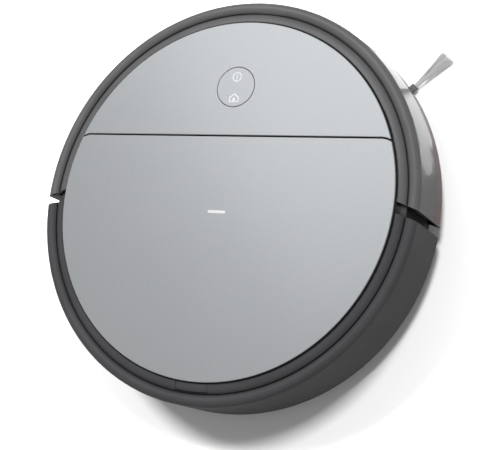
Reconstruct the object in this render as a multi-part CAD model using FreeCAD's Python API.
"""A round robotic floor cleaner, modelled in millimetres.

The origin is on the floor under the centre of the body. +Y is the direction
of travel (the bumper side), +X is the machine's right, and +Z is up.
Each sub-part has one function, and the list at the end writes one file each.
"""

import FreeCAD, Part
import math
import os

os.makedirs("parts", exist_ok=True)

Vec = FreeCAD.Vector

# --- Body -------------------------------------------------------------------
BODY_R = 165.0
UNDERSIDE = 12.0
WALL = 2.4
FLOOR_TOP = UNDERSIDE + WALL
BOTTOM_ROUND = 13.0
ROUND_CENTRE_R = BODY_R - BOTTOM_ROUND
ROUND_CENTRE_Z = UNDERSIDE + BOTTOM_ROUND
APRON_TOP = 20.0
INNER_WALL_R = 152.5
INNER_WALL_TOP = 68.0
HALF = 0.5

# --- Top plate: a fixed front panel and a hinged rear lid ---------------------
PLATE_R = 146.3
PLATE_TOP = 78.0
SKIN_LOW = 76.2
SKIN_EDGE_ROUND = 0.5
SPLIT_LID_Y = 49.9
SPLIT_PANEL_Y = 51.1
SPLIT_STRAIGHT_X = 129.0
DECK_LOW = 73.0
DECK_TOP = 75.0
DECK_FRONT_R = 139.0
LEDGE_LOW = 68.4
LEDGE_TOP = 70.4
LEDGE_R = 154.0

# --- Rim and bumper -----------------------------------------------------------
LIP_R = 147.0
LIP_OUTER_R = 153.6
RIM_TOP = 76.15
SEAM = 0.3
BUMPER_LOW = 38.3
BUMPER_FORWARD = 3.0
FLANK_TOP = 72.3
WINDOW_LOW = 21.0
BUMPER_END_IN = (147.0, 2.5)
BUMPER_END_OUT = (165.0, -4.0)
REAR_END_IN = (149.0, -7.0)
REAR_END_OUT = (165.0, -12.3)
POST_X = 70.0
POST_Z = 50.0
POST_R = 4.0
POST_END_Y = 124.0

# --- Lid hinge and release ----------------------------------------------------
HINGE_Y = 46.4
HINGE_Z = 74.6
HINGE_PIN_R = 0.9
KNUCKLE_R = 1.5
HINGE_X = 100.0
LID_CORNER_REACH = 5.05
TROUGH_LOW = 71.2
TROUGH_Y = (41.0, 51.5)
TAB_HALF_WIDTH = 13.7

# --- Control button -----------------------------------------------------------
BUTTON_Y = 91.35
BUTTON_R = 16.5
BUTTON_HOLE_R = 16.75
BUTTON_PIVOT_Z = 73.0
PLUNGER_OFFSET = 9.0

# --- Drive modules ------------------------------------------------------------
WHEEL_R = 33.0
WHEEL_X = (98.5, 116.0)
ARM_X = (86.0, 96.0)
PIVOT_Y = 44.0
PIVOT_Z = 44.0
MOTOR_R = 12.0
SPRING_X = 91.0
SPRING_Y = 15.0
SPRING_Z = (50.2, 72.8)
SPRING_COIL_R = 3.7

# --- Caster -------------------------------------------------------------------
CASTER_Y = 118.0
CASTER_TRAIL = 8.0
CASTER_WHEEL_R = 13.0
CASTER_CUP_R = 22.5

# --- Main brush and its gear train ---------------------------------------------
BRUSH_Y = -34.0
BRUSH_Z = 22.0
BRUSH_R = 21.5
BRUSH_CORE_R = 8.0
BRUSH_HALF = 80.0
CHAMBER_HALF = 84.0
CHAMBER_R = 24.0
BAR_XS = (-51.0, -17.0, 17.0, 51.0)
MODULE = 0.8
PRESSURE_ANGLE = math.radians(25.0)
OUTPUT_TEETH = 20
IDLER_SMALL_TEETH = 12
IDLER_LARGE_TEETH = 36
PINION_TEETH = 10
GEAR_PLANE_A = (86.6, 89.6)
GEAR_PLANE_B = (90.3, 93.3)
GEARBOX_X = (86.2, 95.8)
DIAGONAL = math.sqrt(HALF)
IDLER_REACH = MODULE * (OUTPUT_TEETH + IDLER_SMALL_TEETH) / 2
IDLER_YZ = (BRUSH_Y - IDLER_REACH * DIAGONAL, BRUSH_Z + IDLER_REACH * DIAGONAL)
PINION_REACH = MODULE * (IDLER_LARGE_TEETH + PINION_TEETH) / 2
PINION_YZ = (IDLER_YZ[0] - PINION_REACH * DIAGONAL, IDLER_YZ[1] + PINION_REACH * DIAGONAL)

# --- Dust bin and fan ----------------------------------------------------------
BIN_X = 62.0
BIN_Y = (-123.0, -61.0)
BIN_Z = (17.5, 64.0)
BIN_WALL = 1.8
INLET_X = 38.0
INLET_Z = (27.0, 42.0)
FILTER_Y = (-108.0, -70.0)
FILTER_Z = (25.0, 59.0)
FAN_Y = -88.0
FAN_Z = 42.0
FAN_R = 25.0
FAN_X = (-91.0, -67.0)

# --- Side brush ----------------------------------------------------------------
SIDE_X = 104.0
SIDE_Y = 92.0
SIDE_ARM_ANGLES = (48.5, 168.5, 288.5)
SIDE_ARM_REACH = 32.0
SIDE_TUFT_REACH = 67.0

# --- Battery, board, contacts and sensors ---------------------------------------
BATTERY_X = 38.0
BATTERY_Y = (20.0, 80.0)
BATTERY_Z = (15.2, 37.0)
DOOR_X = 41.0
DOOR_Y = (15.0, 90.0)
BOARD_Z = (42.0, 43.6)
CONTACT_X = 38.0
CONTACT_SIZE = (16.0, 7.0)
CONTACT_LOW = 11.4
CLIFF_ANGLES = (66.0, 114.0, 138.0)
CLIFF_R = 139.0
SWITCH_ANGLE = 195.0
SWITCH_PIVOT_R = 160.0
SWITCH_Z = 50.0
SWITCH_TILT = 8.0

# --- Bump levers ----------------------------------------------------------------
LEVER_PIVOT_X = 54.0
LEVER_PIVOT_Y = 118.0
LEVER_Z = (48.0, 51.0)

# --- Fasteners ------------------------------------------------------------------
SHELL_SCREWS = [(134.0, 8.0), (130.0, -58.0), (50.0, -134.0), (66.0, 104.0)]
SCREW_R = 1.3
SCREW_HEAD_R = 3.0
SCREW_BOSS_TOP = 24.0
DOOR_SCREW_XY = (30.0, 86.0)

FREE_GAP = 0.05
FAR = 200.0


# --- Shape helpers ----------------------------------------------------------------
def box(x_range, y_range, z_range):
    """A box between three pairs of limits."""
    size = [high - low for low, high in (x_range, y_range, z_range)]
    return Part.makeBox(*size, Vec(x_range[0], y_range[0], z_range[0]))


def rod(start, end, radius):
    """A round rod between two points."""
    axis = Vec(*end) - Vec(*start)
    return Part.makeCylinder(radius, axis.Length, Vec(*start), axis)


def rod_x(y, z, x_range, radius):
    """A round rod along X."""
    return rod((x_range[0], y, z), (x_range[1], y, z), radius)


def rod_z(x, y, z_range, radius):
    """A round rod along Z."""
    return rod((x, y, z_range[0]), (x, y, z_range[1]), radius)


def fuse(shapes):
    """One shape from several that touch."""
    return shapes[0].multiFuse(shapes[1:]).removeSplitter()


def cut(shape, tools):
    """The shape without the tools."""
    return shape.cut(tools)


def face_of(outline, place):
    """A flat face. An outline step is a point, or a pair (arc's middle, arc's end)."""
    edges = []
    here = outline[0]
    for step in outline[1:] + outline[:1]:
        if isinstance(step[0], tuple):
            middle, end = step
            edges.append(Part.Arc(place(*here), place(*middle), place(*end)).toShape())
        else:
            end = step
            if end != here:
                edges.append(Part.makeLine(place(*here), place(*end)))
        here = end
    return Part.Face(Part.Wire(edges))


def prism_z(outline, z_range):
    """An (x, y) outline drawn up along Z."""
    face = face_of(outline, lambda x, y: Vec(x, y, z_range[0]))
    return face.extrude(Vec(0, 0, z_range[1] - z_range[0]))


def prism_x(outline, x_range):
    """A (y, z) outline drawn along X."""
    face = face_of(outline, lambda y, z: Vec(x_range[0], y, z))
    return face.extrude(Vec(x_range[1] - x_range[0], 0, 0))


def lathe(outline):
    """An (r, z) outline turned about the body's vertical axis."""
    face = face_of(outline, lambda r, z: Vec(r, 0, z))
    return face.revolve(Vec(0, 0, 0), Vec(0, 0, 1), 360)


def lathe_x(outline, y, z):
    """An (x, r) outline turned about a line along X."""
    face = face_of(outline, lambda x, r: Vec(x, y + r, z))
    return face.revolve(Vec(0, y, z), Vec(1, 0, 0), 360)


def ring(outer_r, inner_r, z_range):
    """A plain ring about the body's vertical axis."""
    return cut(rod_z(0, 0, z_range, outer_r), [rod_z(0, 0, z_range, inner_r)])


def mirrored(shape):
    """The shape on the other side of the machine."""
    return shape.mirror(Vec(0, 0, 0), Vec(1, 0, 0))


def both_sides(shape):
    """The shape and its mirror image, as a list."""
    return [shape, mirrored(shape)]


def turned(shape, angle, centre=(0, 0, 0), axis=(0, 0, 1)):
    """A copy of the shape turned by an angle in degrees."""
    copy = shape.copy()
    copy.rotate(Vec(*centre), Vec(*axis), angle)
    return copy


def polar(radius, angle):
    """The (x, y) point at a radius and an angle in degrees."""
    return radius * math.cos(math.radians(angle)), radius * math.sin(math.radians(angle))


def link_outline(centre_a, radius_a, centre_b, radius_b):
    """The outline of a belt around two circles."""
    along = math.atan2(centre_b[1] - centre_a[1], centre_b[0] - centre_a[0])
    gap = math.dist(centre_a, centre_b)
    lean = math.acos((radius_a - radius_b) / gap)

    def on(centre, radius, angle):
        return centre[0] + radius * math.cos(angle), centre[1] + radius * math.sin(angle)

    return [
        on(centre_a, radius_a, along + lean),
        (on(centre_a, radius_a, along + math.pi), on(centre_a, radius_a, along - lean)),
        on(centre_b, radius_b, along - lean),
        (on(centre_b, radius_b, along), on(centre_b, radius_b, along + lean)),
    ]


def coil(x, y, z_range, coil_r, wire_r, turns):
    """A helical wire standing on (x, y)."""
    height = z_range[1] - z_range[0] - 2 * wire_r
    path = Part.makeHelix(height / turns, height, coil_r)
    section = Part.Wire([Part.makeCircle(wire_r, Vec(coil_r, 0, 0), Vec(0, 1, 0))])
    wire = Part.Wire(path).makePipeShell([section], True, True)
    wire.translate(Vec(x, y, z_range[0] + wire_r))
    return wire


def fillet_at(shape, z, radius):
    """The shape with every edge that lies flat at height z rounded."""
    edges = [
        e for e in shape.Edges
        if abs(e.BoundBox.ZMin - z) < 1e-6 and abs(e.BoundBox.ZMax - z) < 1e-6
    ]
    return shape.makeFillet(radius, edges)


# --- Regions of the rim ------------------------------------------------------------
def end_line(inner, outer, shift=0.0):
    """The y of a slanted end line at the centre plane and far outside the body."""
    slope = (outer[1] - inner[1]) / (outer[0] - inner[0])
    return inner[1] - slope * inner[0] + shift, inner[1] + slope * (FAR - inner[0]) + shift


def front_region(shift=0.0):
    """Everything ahead of the bumper's two slanted end lines."""
    middle_y, far_y = end_line(BUMPER_END_IN, BUMPER_END_OUT, shift)
    outline = [(0, middle_y), (FAR, far_y), (FAR, FAR), (-FAR, FAR), (-FAR, far_y)]
    return prism_z(outline, (0, FAR))


def rear_region(shift=0.0):
    """Everything behind the rear shell's two slanted end lines."""
    middle_y, far_y = end_line(REAR_END_IN, REAR_END_OUT, shift)
    outline = [(0, middle_y), (-FAR, far_y), (-FAR, -FAR), (FAR, -FAR), (FAR, far_y)]
    return prism_z(outline, (0, FAR))


def rim(low):
    """The whole moulded rim: inner lip, groove, outer crown and upright flank."""
    inner_r = BODY_R - WALL
    outline = [
        (LIP_R, 73.4),
        (LIP_R, 75.5),
        ((147.4, 75.98), (148.4, RIM_TOP)),
        ((151.7, 75.57), (154.6, 73.9)),
        (154.8, 72.9),
        ((155.1, 72.7), (155.4, 72.9)),
        (155.6, 73.9),
        ((157.75, 75.56), (160.4, RIM_TOP)),
        ((163.3, 75.19), (BODY_R, 72.7)),
        (BODY_R, low),
        (inner_r, low),
        (inner_r, 72.4),
        (161.4, 73.7),
        (158.0, 73.7),
        (156.4, 71.2),
        (153.6, 71.2),
        (152.2, 73.4),
    ]
    return lathe(outline)


# --- Shells ------------------------------------------------------------------------
def base_shell():
    """The lower body: floor, rounded lower edge, wall behind the bumper, bosses."""
    outer_mid = (ROUND_CENTRE_R + BOTTOM_ROUND * DIAGONAL, ROUND_CENTRE_Z - BOTTOM_ROUND * DIAGONAL)
    inner_round = BOTTOM_ROUND - WALL
    inner_mid = (ROUND_CENTRE_R + inner_round * DIAGONAL, ROUND_CENTRE_Z - inner_round * DIAGONAL)
    dish = lathe([
        (0, UNDERSIDE),
        (ROUND_CENTRE_R, UNDERSIDE),
        (outer_mid, (BODY_R, ROUND_CENTRE_Z)),
        (BODY_R - WALL, ROUND_CENTRE_Z),
        (inner_mid, (ROUND_CENTRE_R, FLOOR_TOP)),
        (0, FLOOR_TOP),
    ])
    over_apron = ring(FAR, INNER_WALL_R, (APRON_TOP, ROUND_CENTRE_Z + 1))
    dish = cut(dish, [cut(over_apron, [rear_region()])])
    wall = ring(INNER_WALL_R, INNER_WALL_R - 2.5, (FLOOR_TOP - 1, INNER_WALL_TOP))
    wall = wall.common(box((-FAR, FAR), (-14, FAR), (0, FAR)))
    end_round = BOTTOM_ROUND - 1
    end_mid = (ROUND_CENTRE_R + end_round * DIAGONAL, ROUND_CENTRE_Z - end_round * DIAGONAL)
    rear_end = lathe([
        (ROUND_CENTRE_R, ROUND_CENTRE_Z - end_round),
        (end_mid, (ROUND_CENTRE_R + end_round, ROUND_CENTRE_Z)),
        (ROUND_CENTRE_R, ROUND_CENTRE_Z),
    ])
    rear_end = rear_end.common(cut(rear_region(), [rear_region(-WALL)]))
    pieces = [dish, wall, rear_end]
    for x, y in SHELL_SCREWS:
        pieces += both_sides(rod_z(x, y, (FLOOR_TOP - 1, SCREW_BOSS_TOP), 4.5))
    door_x, door_y = DOOR_SCREW_XY
    bridge = fuse([
        box((door_x - 4, door_x + 4), (door_y - 4, DOOR_Y[1] + 4), (FLOOR_TOP + 0.1, 20)),
        box((door_x - 4, door_x + 4), (DOOR_Y[1] + 0.3, DOOR_Y[1] + 4), (FLOOR_TOP - 1, 20)),
    ])
    pieces += both_sides(bridge)
    well_side = box((118.7, 120.2), (-38.2, 45), (FLOOR_TOP - 1, 60))
    well_rear = box((99.0, 120.2), (-38.2, -36.7), (FLOOR_TOP - 1, 60))
    pieces += both_sides(fuse([well_side, well_rear]))
    bin_rail = box((40, 43), (-118, -66), (FLOOR_TOP - 1, BIN_Z[0] - FREE_GAP))
    pieces += both_sides(bin_rail)
    return cut(fuse(pieces), base_openings())


def base_openings():
    """Everything that is cut out of the lower body."""
    through = (UNDERSIDE - 1, FLOOR_TOP + 1)
    rounded_edge = ring(FAR, INNER_WALL_R, (UNDERSIDE - 1, ROUND_CENTRE_Z + 2))
    bumper_gap = cut(rounded_edge, [front_region(), rear_region()])
    tools = [bumper_gap, rod_z(0, CASTER_Y, through, CASTER_CUP_R)]
    tools += both_sides(box((97.5, 118.5), (-36.5, 44), through))
    tools += both_sides(box((85, 98), (-14, 57), through))
    tools.append(box((-CHAMBER_HALF, CHAMBER_HALF), (-58, -10), through))
    tools.append(box((-92.3, 92.3), (-66.3, -3.7), (UNDERSIDE - 1, UNDERSIDE + 1.2)))
    tools.append(box((-DOOR_X - 0.3, DOOR_X + 0.3), (DOOR_Y[0] - 0.3, DOOR_Y[1] + 0.3), (11, FLOOR_TOP)))
    tools.append(box((86, 90.3), (BRUSH_Y - 6, BRUSH_Y + 6), through))
    tools.append(rod_z(SIDE_X, SIDE_Y, through, 4.5))
    contact = box((CONTACT_X - 8.1, CONTACT_X + 8.1), (CASTER_Y - 3.6, CASTER_Y + 3.6), through)
    tools += both_sides(contact)
    for angle in CLIFF_ANGLES:
        window = box((CLIFF_R - 3.6, CLIFF_R + 3.6), (-7.1, 7.1), through)
        tools.append(turned(window, angle))
    post = rod((POST_X, 120, POST_Z), (POST_X, 160, POST_Z), POST_R + 0.15)
    tools += both_sides(post)
    for x, y in SHELL_SCREWS:
        tools += both_sides(rod_z(x, y, (UNDERSIDE - 1, FLOOR_TOP + 0.4), SCREW_HEAD_R + 0.3))
        tools += both_sides(rod_z(x, y, (UNDERSIDE, SCREW_BOSS_TOP + 1), SCREW_R + 0.2))
    tools += both_sides(rod_z(*DOOR_SCREW_XY, (FLOOR_TOP, 21), 1.15))
    return tools


def top_shell():
    """The upper body: deck, rear rim and flank, hinge trough, bin well, posts."""
    rear_rim = rim(ROUND_CENTRE_Z + SEAM).common(rear_region())
    deck_rear = ring(LIP_R + 0.5, DECK_FRONT_R - 1, (DECK_LOW, DECK_TOP)).common(rear_region())
    rim_root = ring(LIP_R + 3, LIP_R - 1, (DECK_LOW, 74.6)).common(rear_region())
    deck = rod_z(0, 0, (DECK_LOW, DECK_TOP), DECK_FRONT_R)
    ahead = box((-FAR, FAR), (-16, FAR), (0, FAR))
    step = ring(DECK_FRONT_R, DECK_FRONT_R - 2.2, (LEDGE_LOW, DECK_TOP)).common(ahead)
    ledge = ring(LEDGE_R, DECK_FRONT_R - 2.2, (LEDGE_LOW, LEDGE_TOP)).common(ahead)
    end_wall = ring(BODY_R - WALL + 1, INNER_WALL_R + 0.3, (ROUND_CENTRE_Z + SEAM, DECK_LOW))
    end_wall = end_wall.common(cut(rear_region(), [rear_region(-WALL)]))
    trough = box((-128, 128), (TROUGH_Y[0] - 1.6, TROUGH_Y[1] + 1.6), (TROUGH_LOW - 1.8, DECK_TOP))
    well_outer = box((-BIN_X - 3.1, BIN_X + 3.1), (BIN_Y[0] - 3.1, BIN_Y[1] + 3.1), (63, DECK_TOP))
    pieces = [rear_rim, deck_rear, rim_root, deck, step, ledge, end_wall, trough, well_outer]
    for x, y in SHELL_SCREWS:
        pieces += both_sides(rod_z(x, y, (SCREW_BOSS_TOP + 0.1, DECK_LOW + 1), 3.5))
    for x, y in [(42, 28), (42, 76)]:
        pieces += both_sides(rod_z(x, y, (BOARD_Z[1] + FREE_GAP, DECK_LOW + 1), 2.5))
    pieces += both_sides(button_cradle())
    pieces.append(tab_guide())
    shell = cut(fuse(pieces), top_openings())
    knuckles = [deck_knuckle(HINGE_X - 9), deck_knuckle(HINGE_X + 9)]
    knuckles += [mirrored(k) for k in knuckles]
    shell = fuse([shell] + knuckles)
    pin_bore = rod_x(HINGE_Y, HINGE_Z, (-FAR, FAR), HINGE_PIN_R + FREE_GAP)
    return cut(shell, [pin_bore.common(box((-115, 115), (40, 50), (70, 78)))])


def deck_knuckle(x):
    """One fixed half of a lid hinge, on its web."""
    width = (x - 3, x + 3)
    round_part = rod_x(HINGE_Y, HINGE_Z, width, KNUCKLE_R)
    web = box(width, (HINGE_Y - 0.9, HINGE_Y + 0.9), (TROUGH_LOW - 0.5, HINGE_Z))
    return fuse([round_part, web])


def button_cradle():
    """A deck ear that carries one end of the control button's trunnions."""
    return box((14.0, 17.2), (BUTTON_Y - 2.5, BUTTON_Y + 2.5), (70.8, DECK_LOW + 0.5))


def tab_guide():
    """The sleeve that guides the lid release tab, held to the flank by a rib."""
    sleeve = box((-8, 8), (-155, -147), (64, 70))
    rib = box((-2, 2), (-163.5, -154), (50, 70))
    return fuse([sleeve, rib])


def top_openings():
    """Everything that is cut out of the upper body."""
    over_deck = (DECK_LOW - 5, DECK_TOP + 1)
    well = box((-BIN_X - 1.5, BIN_X + 1.5), (BIN_Y[0] - 1.5, BIN_Y[1] + 1.5), (59, DECK_TOP + 1))
    tools = [well, box((-FAR, FAR), TROUGH_Y, (TROUGH_LOW, PLATE_TOP))]
    tools += both_sides(box((11, 14), (BUTTON_Y - 3, BUTTON_Y + 3), over_deck))
    tools.append(rod_x(BUTTON_Y, BUTTON_PIVOT_Z, (-18, 18), 1.0))
    for side in (-1, 1):
        tools.append(rod_z(0, BUTTON_Y + side * PLUNGER_OFFSET, over_deck, 2.4))
    tab_hole = ring(LIP_OUTER_R + 0.5, LIP_R, (70, PLATE_TOP))
    tools.append(tab_hole.common(box((-TAB_HALF_WIDTH - 0.3, TAB_HALF_WIDTH + 0.3), (-FAR, 0), (60, FAR))))
    tools.append(box((-6.1, 6.1), (-152.1, -148.9), (60, 75)))
    tools.append(box((-6.6, 6.6), (-143.4, -140.3), over_deck))
    slot = box((158, 168), (-1.1, 1.1), (36, 60))
    tools += [turned(slot, 231 + 1.7 * step) for step in range(9)]
    switch_hole = box((158, 168), (-6.8, 6.8), (SWITCH_Z - 4.8, SWITCH_Z + 4.8))
    tools.append(turned(switch_hole, SWITCH_ANGLE))
    for x, y in SHELL_SCREWS:
        tools += both_sides(rod_z(x, y, (SCREW_BOSS_TOP, 37), SCREW_R + 0.02))
    return tools


def plate_half(split_y, end_y, middle_y, rear):
    """Half of the round top plate, with its split edge curving back at both ends."""
    end_x = math.sqrt(PLATE_R ** 2 - end_y ** 2)
    middle_x = (SPLIT_STRAIGHT_X + end_x) / 2 + 0.8
    outline = [
        (-SPLIT_STRAIGHT_X, split_y),
        (SPLIT_STRAIGHT_X, split_y),
        ((middle_x, middle_y), (end_x, end_y)),
        ((0, -PLATE_R if rear else PLATE_R), (-end_x, end_y)),
        ((-middle_x, middle_y), (-SPLIT_STRAIGHT_X, split_y)),
    ]
    return outline


def lid_skin():
    """The silver rear plate."""
    outline = plate_half(SPLIT_LID_Y, 47.6, 49.3, True)
    plate = prism_z(outline, (SKIN_LOW, PLATE_TOP))
    return fillet_at(plate, PLATE_TOP, SKIN_EDGE_ROUND)


def lid_frame():
    """The moulded frame under the rear plate: border, ribs, knuckles, latch tongue."""
    z_range = (DECK_TOP + 0.1, SKIN_LOW - FREE_GAP)
    behind = box((-FAR, FAR), (-FAR, HINGE_Y - 2.6), (0, FAR))
    border = ring(143.0, 134.0, z_range).common(behind)
    front_bar = box((-139, 139), (36, HINGE_Y - 2.6), z_range).common(rod_z(0, 0, (0, FAR), 143.0))
    pieces = [border, front_bar]
    for x in (-90, -30, 30, 90):
        reach = math.sqrt(139.0 ** 2 - x ** 2)
        pieces.append(box((x - 3, x + 3), (-reach, 40), z_range))
    pieces.append(box((-136, 136), (-47, -41), z_range))
    leaf = fuse([
        box((-5.6, 5.6), (HINGE_Y - 5, HINGE_Y), z_range),
        rod_x(HINGE_Y, HINGE_Z, (-5.6, 5.6), KNUCKLE_R),
    ])
    for side in (-1, 1):
        pieces.append(leaf.translated(Vec(side * HINGE_X, 0, 0)))
    tongue = [(-142.5, 76), (-142.5, 65.4), (-143.9, 64.4), (-143.0, 62.6), (-141.0, 62.6), (-141.0, 76)]
    pieces.append(prism_x(tongue, (-5.5, 5.5)))
    bore = rod_x(HINGE_Y, HINGE_Z, (-115, 115), HINGE_PIN_R + FREE_GAP)
    return cut(fuse(pieces), [bore])


def lid_hinge_pins():
    """Two steel pins that the lid turns on."""
    pin = rod_x(HINGE_Y, HINGE_Z, (HINGE_X - 12, HINGE_X + 12), HINGE_PIN_R)
    return Part.makeCompound(both_sides(pin))


def corner_relief():
    """The room that a front corner of the swinging lid needs under the front panel."""
    start = Vec(SPLIT_STRAIGHT_X, HINGE_Y, HINGE_Z)
    length = 14.0
    narrowing = 0.9
    return Part.makeCone(LID_CORNER_REACH, LID_CORNER_REACH - narrowing, length, start, Vec(1, 0, 0))


def front_panel():
    """The silver front plate, with the round hole for the control button."""
    outline = plate_half(SPLIT_PANEL_Y, 48.9, 50.5, False)
    plate = prism_z(outline, (SKIN_LOW, PLATE_TOP))
    hole = rod_z(0, BUTTON_Y, (70, 80), BUTTON_HOLE_R)
    plate = fillet_at(cut(plate, [hole]), PLATE_TOP, SKIN_EDGE_ROUND)
    plate = cut(plate, both_sides(corner_relief()))
    rib_z = (DECK_TOP + FREE_GAP, SKIN_LOW + HALF)
    ahead = box((-FAR, FAR), (54, FAR), (0, FAR))
    border = ring(138.0, 134.0, rib_z).common(ahead)
    collar = cut(rod_z(0, BUTTON_Y, rib_z, BUTTON_HOLE_R + 2.5), [hole])
    bar = box((-124, 124), (54, 57), rib_z)
    return fuse([plate, border, collar, bar])


def release_tab():
    """The push tab in the rear of the inner lip, with its stem and wedge."""
    cap = lathe([
        (LIP_R + 0.2, 72.2),
        (LIP_R + 0.2, 75.6),
        ((150.9, 75.8), (LIP_OUTER_R - 0.1, 74.7)),
        (LIP_OUTER_R + 0.2, 72.2),
    ])
    cap = cap.common(box((-TAB_HALF_WIDTH, TAB_HALF_WIDTH), (-FAR, 0), (0, FAR)))
    stem = box((-6, 6), (-152, -149), (56, 73))
    wedge = prism_x([(-149.2, 62), (-149.2, 57), (-144.8, 57)], (-4, 4))
    return fuse([cap, stem, wedge])


def control_button():
    """The round rocking button, with trunnions and two plungers underneath."""
    disc = fillet_at(rod_z(0, BUTTON_Y, (75.5, PLATE_TOP), BUTTON_R), PLATE_TOP, 0.4)
    pieces = [disc]
    ear = fuse([
        box((11.5, 13.5), (BUTTON_Y - 2, BUTTON_Y + 2), (BUTTON_PIVOT_Z, 75.6)),
        rod_x(BUTTON_Y, BUTTON_PIVOT_Z, (11.5, 13.5), 2.0),
        rod_x(BUTTON_Y, BUTTON_PIVOT_Z, (13.4, 16.6), 0.95),
    ])
    pieces += both_sides(ear)
    for side in (-1, 1):
        pieces.append(rod_z(0, BUTTON_Y + side * PLUNGER_OFFSET, (71.6, 75.6), 1.8))
    return fuse(pieces)


def control_board():
    """The small board under the button, with its two push switches' bodies."""
    board = box((-20, 20), (BUTTON_Y - 17, BUTTON_Y + 17), (66, 67.6))
    pieces = [board]
    for side in (-1, 1):
        y = BUTTON_Y + side * PLUNGER_OFFSET
        pieces.append(box((-3, 3), (y - 3, y + 3), (67.5, 70.6)))
        pieces.append(rod_z(0, y, (70.5, 71.3), 1.7))
    for x in (-17, 17):
        pieces.append(rod_z(x, BUTTON_Y - 12, (67.5, 72.9), 2.0))
        pieces.append(rod_z(x, BUTTON_Y + 12, (67.5, 72.9), 2.0))
    return fuse(pieces)


def bumper_shell():
    """The moving front rim and upper flank, with two guide posts.

    The flank leans: its low edge stands ahead of the rim.
    """
    slope = BUMPER_FORWARD / (FLANK_TOP - BUMPER_LOW)
    lean = FreeCAD.Matrix(1, 0, 0, 0, 0, 1, -slope, slope * FLANK_TOP, 0, 0, 1, 0, 0, 0, 0, 1)
    flank = ring(BODY_R, BODY_R - WALL, (BUMPER_LOW, FLANK_TOP)).transformGeometry(lean)
    shell = fuse([rim(FLANK_TOP), flank]).common(front_region())
    end_rib = ring(BODY_R - WALL + 1, 157.5, (BUMPER_LOW, 72.0))
    end_rib = end_rib.common(cut(front_region(), [front_region(WALL)]))
    post = rod((POST_X, POST_END_Y, POST_Z), (POST_X, 150.2, POST_Z), POST_R)
    return fuse([shell, end_rib] + both_sides(post))


def bumper_window():
    """The dark translucent band that the obstacle sensors look through."""
    inner_r = BODY_R - WALL
    drop = ROUND_CENTRE_Z - WINDOW_LOW
    low_r = ROUND_CENTRE_R + math.sqrt(BOTTOM_ROUND ** 2 - drop ** 2)
    mid_r = ROUND_CENTRE_R + math.sqrt(BOTTOM_ROUND ** 2 - (drop / 2) ** 2)
    band = lathe([
        (low_r, WINDOW_LOW),
        ((mid_r, ROUND_CENTRE_Z - drop / 2), (BODY_R, ROUND_CENTRE_Z)),
        (BODY_R, BUMPER_LOW - SEAM),
        (inner_r - 1.0, BUMPER_LOW - SEAM),
        (inner_r - 1.0, 46.0),
        (inner_r - 2.6, 46.0),
        (inner_r - 2.6, 35.5),
        (inner_r, 33.0),
        (inner_r, ROUND_CENTRE_Z),
        (low_r - WALL, WINDOW_LOW),
    ])
    band.translate(Vec(0, BUMPER_FORWARD, 0))
    window = band.common(front_region(0.1))
    rib_room = ring(BODY_R - WALL + 1, 157, (BUMPER_LOW - SEAM, 50))
    rib_room = rib_room.common(cut(front_region(), [front_region(WALL + 0.3)]))
    return cut(window, [rib_room])


# --- Underside: brush chamber, cover, battery --------------------------------------
def brush_chamber():
    """The housing over the main brush, with its mouth towards the dust bin."""
    x_range = (-CHAMBER_HALF - 2, CHAMBER_HALF + 2)
    outer_r = CHAMBER_R + 1.8
    arch = lathe_x([(x_range[0], 0), (x_range[1], 0), (x_range[1], outer_r), (x_range[0], outer_r)],
                   BRUSH_Y, BRUSH_Z)
    skirt = box(x_range, (BRUSH_Y - outer_r, BRUSH_Y + outer_r), (FLOOR_TOP + FREE_GAP, BRUSH_Z))
    above = box((-FAR, FAR), (-FAR, FAR), (FLOOR_TOP + FREE_GAP, FAR))
    mouth = box((-INLET_X - 1.5, INLET_X + 1.5), (-60.5, -50), (INLET_Z[0] - 1.5, INLET_Z[1] + 1.5))
    solid = fuse([arch.common(above), skirt, mouth])
    room = rod_x(BRUSH_Y, BRUSH_Z, (-CHAMBER_HALF, CHAMBER_HALF), CHAMBER_R)
    slot = box((-CHAMBER_HALF, CHAMBER_HALF), (BRUSH_Y - CHAMBER_R, BRUSH_Y + CHAMBER_R), (0, BRUSH_Z))
    throat = box((-INLET_X, INLET_X), (-61, -45), INLET_Z)
    idler_seat = rod_x(*IDLER_YZ, (CHAMBER_HALF + 0.6, FAR), 1.52)
    shaft_hole = rod_x(BRUSH_Y, BRUSH_Z, (0, FAR), 3.3)
    bearing_hole = rod_x(BRUSH_Y, BRUSH_Z, (-FAR, 0), 5.05)
    return cut(solid, [room, slot, throat, idler_seat, shaft_hole, bearing_hole])


def brush_cover():
    """The removable frame that holds the main brush in, with guard bars."""
    plate = box((-92, 92), (-66, -4), (9.6, UNDERSIDE + 1.15))
    opening = box((-CHAMBER_HALF + 2, CHAMBER_HALF - 2), (-56, -12), (0, 20))
    pieces = [cut(plate, [opening])]
    for x in BAR_XS:
        pieces.append(box((x - 1, x + 1), (-57, -11), (9.6, 11.6)))
    grip = box((-96, -91), (-45, -23), (9.6, 11.5))
    pieces += [grip, mirrored(grip)]
    return fuse(pieces)


def brush_bearing():
    """The left-hand bush that the main brush turns in."""
    x_range = (-CHAMBER_HALF - 2, -CHAMBER_HALF)
    bush = cut(rod_x(BRUSH_Y, BRUSH_Z, x_range, 5.0), [rod_x(BRUSH_Y, BRUSH_Z, (-FAR, 0), 3.06)])
    return bush


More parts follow.
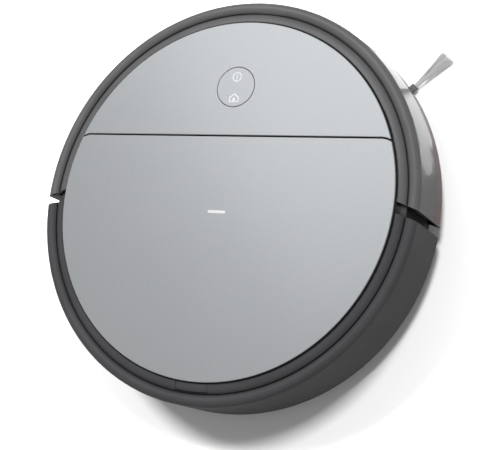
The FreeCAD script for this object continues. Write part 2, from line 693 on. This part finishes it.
def brush_core():
    """The main brush's roller, with its stub shafts."""
    return fuse([
        rod_x(BRUSH_Y, BRUSH_Z, (-BRUSH_HALF, BRUSH_HALF), BRUSH_CORE_R),
        rod_x(BRUSH_Y, BRUSH_Z, (-CHAMBER_HALF - 2.5, -BRUSH_HALF + 1), 3.0),
        rod_x(BRUSH_Y, BRUSH_Z, (BRUSH_HALF - 1, GEAR_PLANE_A[0]), 3.0),
        rod_x(BRUSH_Y, BRUSH_Z, (GEAR_PLANE_A[0] - 1, GEAR_PLANE_A[1]), 2.0),
    ])


def blade_section(x, angle):
    """The cross-section of one brush row at x; the rows lean over towards the middle."""
    twist = angle + 60.0 * (1 - abs(x) / BRUSH_HALF)
    half_thick = 1.1
    foot = BRUSH_CORE_R + FREE_GAP
    points = []
    corners = [(foot, -half_thick), (BRUSH_R, -half_thick), (BRUSH_R, half_thick), (foot, half_thick)]
    for out, across in corners:
        reach = math.hypot(out, across)
        lean = math.radians(twist) + math.atan2(across, out)
        points.append(Vec(x, BRUSH_Y + reach * math.cos(lean), BRUSH_Z + reach * math.sin(lean)))
    return Part.makePolygon(points + points[:1])


def brush_bristles():
    """Six chevron rows, each split where the guard bars pass."""
    bar_room = 2.2
    stops = [-BRUSH_HALF] + [x + side * bar_room for x in BAR_XS for side in (-1, 1)] + [BRUSH_HALF]
    pieces = []
    for k in range(6):
        for low, high in zip(stops[::2], stops[1::2]):
            middle = 0.0 if low < 0 < high else (low + high) / 2
            stations = [low, (low + middle) / 2, middle, (middle + high) / 2, high]
            pieces.append(Part.makeLoft([blade_section(x, 60.0 * k) for x in stations], True, True))
    return Part.makeCompound(pieces)


def gear_outline(teeth, centre, tooth_at):
    """An involute gear's (y, z) outline, with a tooth centred at an angle."""
    pitch_r = MODULE * teeth / 2
    base_r = pitch_r * math.cos(PRESSURE_ANGLE)
    tip_r = pitch_r + 0.8 * MODULE
    root_r = pitch_r - 1.05 * MODULE
    backlash = 0.12
    half_tooth = math.pi / 2 / teeth - backlash / 2 / pitch_r
    involute = math.tan(PRESSURE_ANGLE) - PRESSURE_ANGLE
    start_r = max(base_r, root_r)
    flank = []
    for step in range(4):
        radius = start_r + (tip_r - start_r) * step / 3
        roll = math.acos(min(1.0, base_r / radius))
        flank.append((radius, half_tooth + involute - (math.tan(roll) - roll)))
    if root_r < base_r:
        flank.insert(0, (root_r, flank[0][1]))
    outline = []
    for tooth in range(teeth):
        middle = tooth_at + 2 * math.pi * tooth / teeth
        steps = [(r, middle - a) for r, a in flank] + [(r, middle + a) for r, a in reversed(flank)]
        outline += [(centre[0] + r * math.cos(a), centre[1] + r * math.sin(a)) for r, a in steps]
    return outline


TO_IDLER = math.radians(135.0)
TO_PINION = math.radians(135.0)


def brush_gear():
    """The gear on the main brush's drive end."""
    outline = gear_outline(OUTPUT_TEETH, (BRUSH_Y, BRUSH_Z), TO_IDLER)
    bore = rod_x(BRUSH_Y, BRUSH_Z, (80, 95), 2.0 + FREE_GAP / 2)
    return cut(prism_x(outline, GEAR_PLANE_A), [bore])


def idler_gear():
    """The two-step gear between the motor's pinion and the brush gear."""
    facing = TO_IDLER + math.pi + math.pi / IDLER_SMALL_TEETH
    small_x = (GEAR_PLANE_A[0], GEAR_PLANE_B[0] + 0.1)
    small = prism_x(gear_outline(IDLER_SMALL_TEETH, IDLER_YZ, facing), small_x)
    large = prism_x(gear_outline(IDLER_LARGE_TEETH, IDLER_YZ, TO_PINION), GEAR_PLANE_B)
    return cut(fuse([small, large]), [rod_x(*IDLER_YZ, (80, 100), 1.55)])


def motor_pinion():
    """The brush motor's pinion on its shaft."""
    facing = TO_PINION + math.pi + math.pi / PINION_TEETH
    teeth = prism_x(gear_outline(PINION_TEETH, PINION_YZ, facing), GEAR_PLANE_B)
    return fuse([teeth, rod_x(*PINION_YZ, (GEAR_PLANE_B[0], 99), 1.0)])


def idler_shaft():
    """The fixed steel pin that the idler gear turns on."""
    return rod_x(*IDLER_YZ, (CHAMBER_HALF + 0.7, GEARBOX_X[1]), 1.5)


def brush_gearbox():
    """The cover over the gear train, which also carries the brush motor."""
    def bodies(grow, x_range):
        shapes = [rod_x(BRUSH_Y, BRUSH_Z, x_range, 9.6 + grow), rod_x(*PINION_YZ, x_range, 7 + grow)]
        shapes.append(rod_x(*IDLER_YZ, x_range, 15.6 + grow))
        shapes.append(prism_x(link_outline(IDLER_YZ, 15.6 + grow, PINION_YZ, 7 + grow), x_range))
        return fuse(shapes)

    outer = bodies(1.2, GEARBOX_X)
    above_floor = box((80, 100), (-FAR, 0), (FLOOR_TOP + FREE_GAP, FAR))
    room = bodies(0, (GEARBOX_X[0] - 1, GEARBOX_X[1] - 1.4))
    bores = [rod_x(*IDLER_YZ, (90, 100), 1.52), rod_x(*PINION_YZ, (90, 100), 3.0)]
    return cut(outer.common(above_floor), [room] + bores)


def brush_motor():
    """The motor that turns the main brush."""
    can = rod_x(*PINION_YZ, (GEARBOX_X[1] + 0.1, 119), 11.5)
    nose = rod_x(*PINION_YZ, (GEARBOX_X[1] - 1.2, GEARBOX_X[1] + 1), 2.9)
    bore = rod_x(*PINION_YZ, (90, 100), 1.05)
    return cut(fuse([can, nose]), [bore])


def battery_pack():
    """The wrapped battery, standing in its bay."""
    pack = box((-BATTERY_X, BATTERY_X), BATTERY_Y, BATTERY_Z)
    return pack.makeFillet(3.0, [e for e in pack.Edges if abs(e.BoundBox.YMax - e.BoundBox.YMin) > 1])


def battery_door():
    """The flush door under the battery."""
    door = box((-DOOR_X, DOOR_X), DOOR_Y, (UNDERSIDE, FLOOR_TOP - 0.2))
    tools = []
    for side in (-1, 1):
        x = side * DOOR_SCREW_XY[0]
        tools.append(rod_z(x, DOOR_SCREW_XY[1], (11, 13.4), 2.5))
        tools.append(rod_z(x, DOOR_SCREW_XY[1], (11, 15), 1.4))
    for step in range(5):
        tools.append(box((-12, 12), (22 + 3 * step, 23.4 + 3 * step), (11, UNDERSIDE + 0.8)))
    return cut(door, tools)


def main_board():
    """The controller board with its larger components."""
    board = box((-46, 46), (24, 84), BOARD_Z)
    on_top = BOARD_Z[1] - 0.1
    parts = [
        box((-9, 9), (46, 64), (on_top, 45.4)),
        box((16, 30), (38, 48), (on_top, 45.0)),
        box((-34, -18), (60, 74), (on_top, 47.5)),
        box((-30, -24), (30, 42), (on_top, 46.5)),
        box((18, 34), (66, 72), (on_top, 50.0)),
    ]
    parts += [rod_z(x, 34, (on_top, 54.0), 4.0) for x in (6, 17)]
    return fuse([board] + parts)


# --- Drive module -------------------------------------------------------------------
def drive_arm():
    """The right-hand swinging gearbox arm, with its pivot stub and spring seat."""
    body = prism_x(link_outline((PIVOT_Y, PIVOT_Z), 13.0, (0, WHEEL_R), 11.0), ARM_X)
    stub = rod_x(PIVOT_Y, PIVOT_Z, (ARM_X[1] - 1, 101.8), 4.0)
    seat = rod_z(SPRING_X, SPRING_Y, (40, SPRING_Z[0] - 0.2), 4.6)
    ridge_outline = link_outline((PIVOT_Y, PIVOT_Z), 9.0, (0, WHEEL_R), 7.0)
    cover_ridge = prism_x(ridge_outline, (ARM_X[0] - 0.8, ARM_X[0]))
    arm = fuse([body, stub, seat, cover_ridge])
    axle_bore = rod_x(0, WHEEL_R, (ARM_X[0] + 1.5, 99), 3.05)
    motor_bore = rod_x(PIVOT_Y, PIVOT_Z, (80, ARM_X[0] + 4), 2.4)
    return cut(arm, [axle_bore, motor_bore])


def drive_motor():
    """The right-hand wheel motor, on the arm's pivot line."""
    can = rod_x(PIVOT_Y, PIVOT_Z, (54, ARM_X[0] - 0.9), MOTOR_R)
    shaft = rod_x(PIVOT_Y, PIVOT_Z, (80, ARM_X[0] + 3), 2.3)
    cap = rod_x(PIVOT_Y, PIVOT_Z, (52, 54.5), 5.0)
    return fuse([can, shaft, cap])


def drive_brackets():
    """The two fixed brackets that the wheel arms swing on."""
    foot = fuse([
        box((66, 106), (58.5, 66), (FLOOR_TOP + 0.1, 16.8)),
        box((98.3, 101.9), (45, 60), (FLOOR_TOP + 0.1, 16.8)),
        box((70, 75), (32, 60), (FLOOR_TOP + 0.1, 16.8)),
    ])
    ear = prism_x([(45.4, FLOOR_TOP + 0.1), (58.5, FLOOR_TOP + 0.1), (50.0, PIVOT_Z), (40.0, PIVOT_Z)],
                  (98.3, 101.9))
    boss = rod_x(PIVOT_Y, PIVOT_Z, (98.3, 101.9), 6.5)
    saddle = fuse([
        rod_x(PIVOT_Y, PIVOT_Z, (70, 75), MOTOR_R + 3),
        box((70, 75), (PIVOT_Y - 11, PIVOT_Y + 11), (FLOOR_TOP + 0.1, PIVOT_Z)),
    ])
    bracket = cut(fuse([foot, ear, boss, saddle]), [
        rod_x(PIVOT_Y, PIVOT_Z, (60, 80), MOTOR_R + 0.06),
        rod_x(PIVOT_Y, PIVOT_Z, (95, 105), 4.06),
    ])
    return Part.makeCompound(both_sides(bracket))


def wheel_hub():
    """The right-hand wheel's plastic centre, with its axle."""
    profile = [
        (WHEEL_X[0] + 2, 0), (WHEEL_X[0] + 2, 6.5), (104.5, 6.5), (104.5, 22.5), (WHEEL_X[0] + 1, 22.5),
        (WHEEL_X[0] + 1, 26.0), (WHEEL_X[1] - 1, 26.0), (WHEEL_X[1] - 1, 22.5), (108.0, 22.5),
        (108.0, 8.0), (WHEEL_X[1] - 3, 7.0), (WHEEL_X[1] - 3, 0),
    ]
    hub = lathe_x(profile, 0, WHEEL_R)
    holes = []
    for k in range(6):
        y, z = polar(15.5, 60 * k)
        holes.append(rod_x(y, WHEEL_R + z, (100, 112), 4.2))
    axle = rod_x(0, WHEEL_R, (ARM_X[0] + 2, WHEEL_X[0] + 3), 3.0)
    return fuse([cut(hub, holes), axle])


def tyre():
    """The right-hand rubber tyre, with cross grooves."""
    low, high = WHEEL_X
    profile = [
        (low + 1, 26.05), (low, 27.5), (low, 31.0),
        ((low + 0.6, 32.4), (low + 2.0, WHEEL_R)),
        (high - 2.0, WHEEL_R),
        ((high - 0.6, 32.4), (high, 31.0)),
        (high, 27.5), (high - 1, 26.05),
    ]
    band = lathe_x(profile, 0, WHEEL_R)
    grooves = []
    count = 28
    for k in range(count):
        groove = box((low - 1, high + 1), (-1.3, 1.3), (WHEEL_R + 31.2, WHEEL_R + 34))
        groove = turned(groove, 180.0 / count + 360.0 * k / count, (0, 0, WHEEL_R), (1, 0, 0))
        grooves.append(groove)
    return cut(band, grooves)


def suspension_spring():
    """The right-hand spring that presses the wheel down."""
    return coil(SPRING_X, SPRING_Y, SPRING_Z, SPRING_COIL_R, 0.5, 7)


# --- Caster --------------------------------------------------------------------------
def caster_socket():
    """The fixed cup that the front caster swivels in."""
    outer = fuse([
        rod_z(0, CASTER_Y, (FLOOR_TOP + 0.1, 34), CASTER_CUP_R + 1.8),
        rod_z(0, CASTER_Y, (FLOOR_TOP + 0.1, 16.4), CASTER_CUP_R + 4.5),
        rod_z(0, CASTER_Y, (33, 43), 7.0),
    ])
    room = rod_z(0, CASTER_Y, (0, 32), CASTER_CUP_R)
    return cut(outer, [room, rod_z(0, CASTER_Y, (30, 41.5), 4.05)])


def caster_fork():
    """The swivelling fork with its mast."""
    disc = rod_z(0, CASTER_Y, (27.6, 31.2), 21.0)
    mast = rod_z(0, CASTER_Y, (31, 41), 4.0)
    wheel_y = CASTER_Y - CASTER_TRAIL
    leg_outline = [(wheel_y - 4, CASTER_WHEEL_R), ((wheel_y, 9.0), (wheel_y + 4, CASTER_WHEEL_R)),
                   (wheel_y + 9, 28.0), (wheel_y - 6, 28.0)]
    leg = prism_x(leg_outline, (7.7, 10.4))
    bore = rod_x(wheel_y, CASTER_WHEEL_R, (-12, 12), 1.52)
    return cut(fuse([disc, mast] + both_sides(leg)), [bore])


def caster_axle():
    """The steel pin through the caster wheel."""
    return rod_x(CASTER_Y - CASTER_TRAIL, CASTER_WHEEL_R, (-10.2, 10.2), 1.5)


def caster_wheel():
    """The front wheel, rounded like a barrel."""
    profile = [
        (-7.3, 1.56), (-7.3, 4), (-6.6, 4), (-6.6, 11.2),
        ((0, CASTER_WHEEL_R), (6.6, 11.2)),
        (6.6, 4), (7.3, 4), (7.3, 1.56),
    ]
    return lathe_x(profile, CASTER_Y - CASTER_TRAIL, CASTER_WHEEL_R)


# --- Dust bin and fan ------------------------------------------------------------------
def dust_bin():
    """The open-topped dust bin, with a mouth in front and a filter window at the left."""
    outer = box((-BIN_X, BIN_X), BIN_Y, BIN_Z)
    upright = [e for e in outer.Edges if e.BoundBox.ZLength > 1]
    outer = outer.makeFillet(6.0, upright)
    inner = box((-BIN_X + BIN_WALL, BIN_X - BIN_WALL), (BIN_Y[0] + BIN_WALL, BIN_Y[1] - BIN_WALL),
                (BIN_Z[0] + BIN_WALL, BIN_Z[1] + 1))
    inner = inner.makeFillet(4.2, [e for e in inner.Edges if e.BoundBox.ZLength > 1])
    mouth = box((-INLET_X, INLET_X), (BIN_Y[1] - 3, BIN_Y[1] + 1), INLET_Z)
    window = box((-BIN_X - 1, -BIN_X + 3), FILTER_Y, FILTER_Z)
    return cut(outer, [inner, mouth, window])


def bin_cover():
    """The dust bin's lift-off top, with a finger recess."""
    plate = box((-BIN_X, BIN_X), BIN_Y, (BIN_Z[1] + 0.1, BIN_Z[1] + 2.6))
    plate = plate.makeFillet(6.0, [e for e in plate.Edges if e.BoundBox.ZLength > 1])
    hollow = cut(box((-24, 24), (-104, -80), (BIN_Z[1] - 9, BIN_Z[1] + 1)),
                 [box((-22, 22), (-102, -82), (BIN_Z[1] - 7, BIN_Z[1] + 3))])
    opened = cut(plate, [box((-22, 22), (-102, -82), (60, 70))])
    bridge = box((-23, 23), (-94.5, -89.5), (BIN_Z[1] + 0.1, BIN_Z[1] + 2.6))
    return fuse([opened, hollow, bridge])


def bin_filter():
    """The filter cartridge inside the bin's left wall: pleated paper in a frame."""
    near = -BIN_X + BIN_WALL + 0.1
    x_range = (near, near + 8.4)
    y_range = (FILTER_Y[0] - 2, FILTER_Y[1] + 2)
    z_range = (FILTER_Z[0] - 2, FILTER_Z[1] + 2)
    frame = cut(box(x_range, y_range, z_range), [box((-FAR, FAR), FILTER_Y, FILTER_Z)])
    pleats = 10
    pitch = (FILTER_Y[1] - FILTER_Y[0]) / pleats
    depth = 6.2
    thick = 0.9
    first = []
    second = []
    for k in range(pleats * 2 + 1):
        y = FILTER_Y[0] + k * pitch / 2
        x = near + 0.5 + (depth if k % 2 else 0)
        first.append((x, y))
        second.append((x + thick, y))
    return fuse([frame, prism_z(first + second[::-1], FILTER_Z)])


def fan_housing():
    """The suction fan's casing, with its outlet towards the rear vents."""
    drum = rod_x(FAN_Y, FAN_Z, FAN_X, FAN_R)
    duct = box((FAN_X[0] + 1.5, FAN_X[1] - 3), (-133, -100), (30, 54))
    drum_room = rod_x(FAN_Y, FAN_Z, (FAN_X[0] + 1.5, FAN_X[1] - 1.5), FAN_R - 1.6)
    duct_room = box((FAN_X[0] + 3, FAN_X[1] - 4.5), (-134, -98), (31.5, 52.5))
    inlet = rod_x(FAN_Y, FAN_Z, (FAN_X[1] - 3, FAN_X[1] + 1), 15)
    shaft_hole = rod_x(FAN_Y, FAN_Z, (FAN_X[0] - 1, FAN_X[0] + 3), 2.5)
    return cut(fuse([drum, duct]), [drum_room, duct_room, inlet, shaft_hole])


def fan_gasket():
    """The foam ring between the dust bin and the fan."""
    x_range = (FAN_X[1] + FREE_GAP, -BIN_X - FREE_GAP)
    return cut(rod_x(FAN_Y, FAN_Z, x_range, 20), [rod_x(FAN_Y, FAN_Z, x_range, 16)])


def fan_impeller():
    """The fan wheel: hub, back plate, curved blades and shaft."""
    back = (FAN_X[0] + 3.0, FAN_X[0] + 4.4)
    front_x = FAN_X[1] - 3.5
    pieces = [
        rod_x(FAN_Y, FAN_Z, back, 21.5),
        rod_x(FAN_Y, FAN_Z, (back[0], front_x - 4), 5.5),
        rod_x(FAN_Y, FAN_Z, (FAN_X[0] - 5, back[0] + 1), 1.5),
    ]
    blade = prism_x([(5.0, -0.6), ((12.6, 3.2), (21.0, -2.4)), (21.2, -1.4), ((12.6, 4.4), (5.0, 0.8))],
                    (back[0] + 0.5, front_x))
    blade.translate(Vec(0, FAN_Y, FAN_Z))
    for k in range(9):
        pieces.append(turned(blade, 40.0 * k, (0, FAN_Y, FAN_Z), (1, 0, 0)))
    return fuse(pieces)


def fan_motor():
    """The motor behind the fan casing."""
    can = rod_x(FAN_Y, FAN_Z, (-119, FAN_X[0] - 0.1), 12.0)
    neck = rod_x(FAN_Y, FAN_Z, (-122, -118), 5.0)
    bore = rod_x(FAN_Y, FAN_Z, (FAN_X[0] - 6, FAN_X[0] + 1), 1.56)
    return cut(fuse([can, neck]), [bore])


# --- Side brush --------------------------------------------------------------------------
def side_brush_motor():
    """The side brush's upright gearmotor."""
    gearbox = rod_z(SIDE_X, SIDE_Y, (FLOOR_TOP + 0.1, 29), 10.5)
    can = rod_z(SIDE_X, SIDE_Y, (28, 48), 8.0)
    bore = rod_z(SIDE_X, SIDE_Y, (0, 19), 2.56)
    return cut(fuse([gearbox, can]), [bore])


def side_brush_hub():
    """The side brush's three-armed hub, with its drive stem."""
    pieces = [
        rod_z(SIDE_X, SIDE_Y, (4.8, 9.5), 8.5),
        rod_z(SIDE_X, SIDE_Y, (9.4, 11.0), 6.0),
        rod_z(SIDE_X, SIDE_Y, (10.9, 18), 2.5),
    ]
    arm = prism_z([(0, -2.3), (SIDE_ARM_REACH, -2.5), (SIDE_ARM_REACH, 2.5), (0, 2.3)], (5.2, 8.8))
    arm.translate(Vec(SIDE_X, SIDE_Y, 0))
    for angle in SIDE_ARM_ANGLES:
        pieces.append(turned(arm, angle, (SIDE_X, SIDE_Y, 0)))
    hub = fuse(pieces)
    screw_seat = rod_z(SIDE_X, SIDE_Y, (4, 6.2), 3.0)
    return cut(hub, [screw_seat])


def side_brush_tufts():
    """The three bristle tufts, each spreading towards its tip."""
    def section(reach, half_width, low, high):
        corners = [(reach, -half_width, low), (reach, half_width, low),
                   (reach, half_width, high), (reach, -half_width, high)]
        points = [Vec(SIDE_X + x, SIDE_Y + y, z) for x, y, z in corners]
        return Part.makePolygon(points + points[:1])

    start = section(SIDE_ARM_REACH + FREE_GAP, 1.5, 5.8, 8.2)
    end = section(SIDE_TUFT_REACH, 6.0, 1.6, 4.0)
    tuft = Part.makeLoft([start, end], True, True)
    return Part.makeCompound([turned(tuft, angle, (SIDE_X, SIDE_Y, 0)) for angle in SIDE_ARM_ANGLES])


# --- Sensors, contacts and switches -------------------------------------------------------
def charging_contacts():
    """Two nickel plates that rest on the charging dock's terminals."""
    half_x, half_y = CONTACT_SIZE[0] / 2, CONTACT_SIZE[1] / 2
    plate = box((CONTACT_X - half_x, CONTACT_X + half_x), (CASTER_Y - half_y, CASTER_Y + half_y),
                (CONTACT_LOW, FLOOR_TOP))
    plate = plate.makeFillet(1.0, [e for e in plate.Edges if e.BoundBox.ZLength > 1])
    pin = rod_z(CONTACT_X + 4, CASTER_Y, (FLOOR_TOP - 0.5, 18), 1.2)
    return Part.makeCompound(both_sides(fuse([plate, pin])))


def cliff_sensors():
    """Infra-red edge detectors behind windows in the floor."""
    sensor = fuse([
        box((CLIFF_R - 3.5, CLIFF_R + 3.5), (-7, 7), (UNDERSIDE + 0.1, 15)),
        box((CLIFF_R - 2.5, CLIFF_R + 2.5), (-6, 6), (14.9, 20)),
    ])
    return Part.makeCompound([turned(sensor, angle) for angle in CLIFF_ANGLES])


def obstacle_sensors():
    """Infra-red emitters and receivers on the wall behind the bumper's window."""
    pod = fuse([
        box((INNER_WALL_R + 0.4, INNER_WALL_R + 1.6), (-6, 6), (24, 36)),
        rod((INNER_WALL_R + 1.5, -2.8, 30), (INNER_WALL_R + 3.2, -2.8, 30), 2.2),
        rod((INNER_WALL_R + 1.5, 2.8, 30), (INNER_WALL_R + 3.2, 2.8, 30), 2.2),
    ])
    return Part.makeCompound([turned(pod, 30.0 + 30.0 * k) for k in range(5)])


def bump_brackets():
    """Two shelves inside the front wall, each with a bump lever's pin and a flag sensor."""
    shelf = box((48, 64), (112, 137), (44, 46.5))
    shelf = shelf.common(rod_z(0, 0, (0, FAR), INNER_WALL_R - 2.5 - FREE_GAP))
    pin = rod_z(LEVER_PIVOT_X, LEVER_PIVOT_Y, (46, 56), 2.0)
    fork = cut(box((40, 47), (113, 123), (44, 55)), [box((41.5, 48), (112, 124), (48, 51.4))])
    arm = box((46, 49), (113, 123), (44, 46.5))
    return Part.makeCompound(both_sides(fuse([shelf, pin, fork, arm])))


def bump_lever():
    """The right-hand lever that the bumper's post pushes, with its sensor flag."""
    nose_y = POST_END_Y - 0.1 - 2.5
    pivot = (LEVER_PIVOT_X, LEVER_PIVOT_Y)
    hub = rod_z(*pivot, LEVER_Z, 4.2)
    arm = prism_z(link_outline(pivot, 2.0, (POST_X, nose_y), 2.5), LEVER_Z)
    flag = box((43.0, LEVER_PIVOT_X), (117.2, 118.8), (49, 50.4))
    return cut(fuse([hub, arm, flag]), [rod_z(*pivot, (40, 60), 2.05)])


def bump_springs():
    """Two torsion springs, one around each bump lever's pin."""
    wire_r = 0.35
    z_range = (LEVER_Z[1] + 0.1, LEVER_Z[1] + 3.6)
    body = coil(LEVER_PIVOT_X, LEVER_PIVOT_Y, z_range, 2.9, wire_r, 3)
    low_leg = rod((LEVER_PIVOT_X + 2.9, LEVER_PIVOT_Y, z_range[0] + wire_r),
                  (LEVER_PIVOT_X + 12, LEVER_PIVOT_Y + 2.6, z_range[0] + wire_r), wire_r)
    high_leg = rod((LEVER_PIVOT_X + 2.9, LEVER_PIVOT_Y, z_range[1] - wire_r),
                   (LEVER_PIVOT_X + 2.9, LEVER_PIVOT_Y + 9, z_range[1] - wire_r), wire_r)
    return Part.makeCompound(both_sides(fuse([body, low_leg, high_leg])))


def at_switch(shape):
    """Turns a shape drawn on the +X side to the power switch's place."""
    return turned(shape, SWITCH_ANGLE)


def switch_housing():
    """The power switch's body behind the left rear flank."""
    body = box((SWITCH_PIVOT_R - 9, BODY_R - WALL - 0.6), (-9.0, 9.0), (SWITCH_Z - 7, SWITCH_Z + 7))
    room = box((SWITCH_PIVOT_R - 6, FAR), (-6.9, 6.9), (SWITCH_Z - 4.9, SWITCH_Z + 4.9))
    bore = rod_z(SWITCH_PIVOT_R, 0, (SWITCH_Z - 6, SWITCH_Z + 6), 1.3)
    return at_switch(cut(body, [room, bore]))


def power_rocker():
    """The power switch's rocker, resting in its off position."""
    outline = [(158.6, -6.0), (164.2, -6.2), (163.2, 0), (164.2, 6.2), (158.6, 6.0)]
    rocker = prism_z(outline, (SWITCH_Z - 4.5, SWITCH_Z + 4.5))
    pins = rod_z(SWITCH_PIVOT_R, 0, (SWITCH_Z - 5.8, SWITCH_Z + 5.8), 1.25)
    tilted = turned(fuse([rocker, pins]), SWITCH_TILT, (SWITCH_PIVOT_R, 0, 0))
    return at_switch(tilted)


def shell_screws():
    """Eight screws that hold the two shells together, and two for the battery door."""
    screws = []
    for x, y in SHELL_SCREWS:
        head = rod_z(x, y, (UNDERSIDE + 0.6, FLOOR_TOP + 0.3), SCREW_HEAD_R)
        shank = rod_z(x, y, (FLOOR_TOP, 36), SCREW_R)
        screws += both_sides(cut(fuse([head, shank]), cross_recess(x, y, UNDERSIDE + 0.6)))
    x, y = DOOR_SCREW_XY
    head = rod_z(x, y, (UNDERSIDE + 0.2, 13.3), 2.4)
    shank = rod_z(x, y, (13, 19.5), 1.1)
    screws += both_sides(cut(fuse([head, shank]), cross_recess(x, y, UNDERSIDE + 0.2)))
    return Part.makeCompound(screws)


def cross_recess(x, y, head_low):
    """The two slots of a cross-head recess."""
    z_range = (head_low - 1, head_low + 0.7)
    return [box((x - 1.7, x + 1.7), (y - 0.4, y + 0.4), z_range),
            box((x - 0.4, x + 0.4), (y - 1.7, y + 1.7), z_range)]


# --- Files -----------------------------------------------------------------------------------
MIRRORED = {
    "drive_arm": drive_arm,
    "drive_motor": drive_motor,
    "wheel_hub": wheel_hub,
    "tyre": tyre,
    "suspension_spring": suspension_spring,
    "bump_lever": bump_lever,
}

SINGLE = [
    base_shell, top_shell, front_panel, lid_skin, lid_frame, lid_hinge_pins, release_tab,
    control_button, control_board, bumper_shell, bumper_window, brush_chamber, brush_cover,
    brush_bearing, brush_core, brush_bristles, brush_gear, idler_gear, motor_pinion, idler_shaft,
    brush_gearbox, brush_motor, battery_pack, battery_door, main_board, drive_brackets,
    caster_socket, caster_fork, caster_axle, caster_wheel, dust_bin, bin_cover, bin_filter,
    fan_housing, fan_gasket, fan_impeller, fan_motor, side_brush_motor, side_brush_hub,
    side_brush_tufts, charging_contacts, cliff_sensors, obstacle_sensors, bump_brackets,
    bump_springs, switch_housing, power_rocker, shell_screws,
]


def save(shape, name):
    """Writes one sub-part."""
    shape.exportStep("parts/" + name + ".step")


for make in SINGLE:
    save(make(), make.__name__)

for name, make in MIRRORED.items():
    right = make()
    save(right, name + "_right")
    save(mirrored(right), name + "_left")
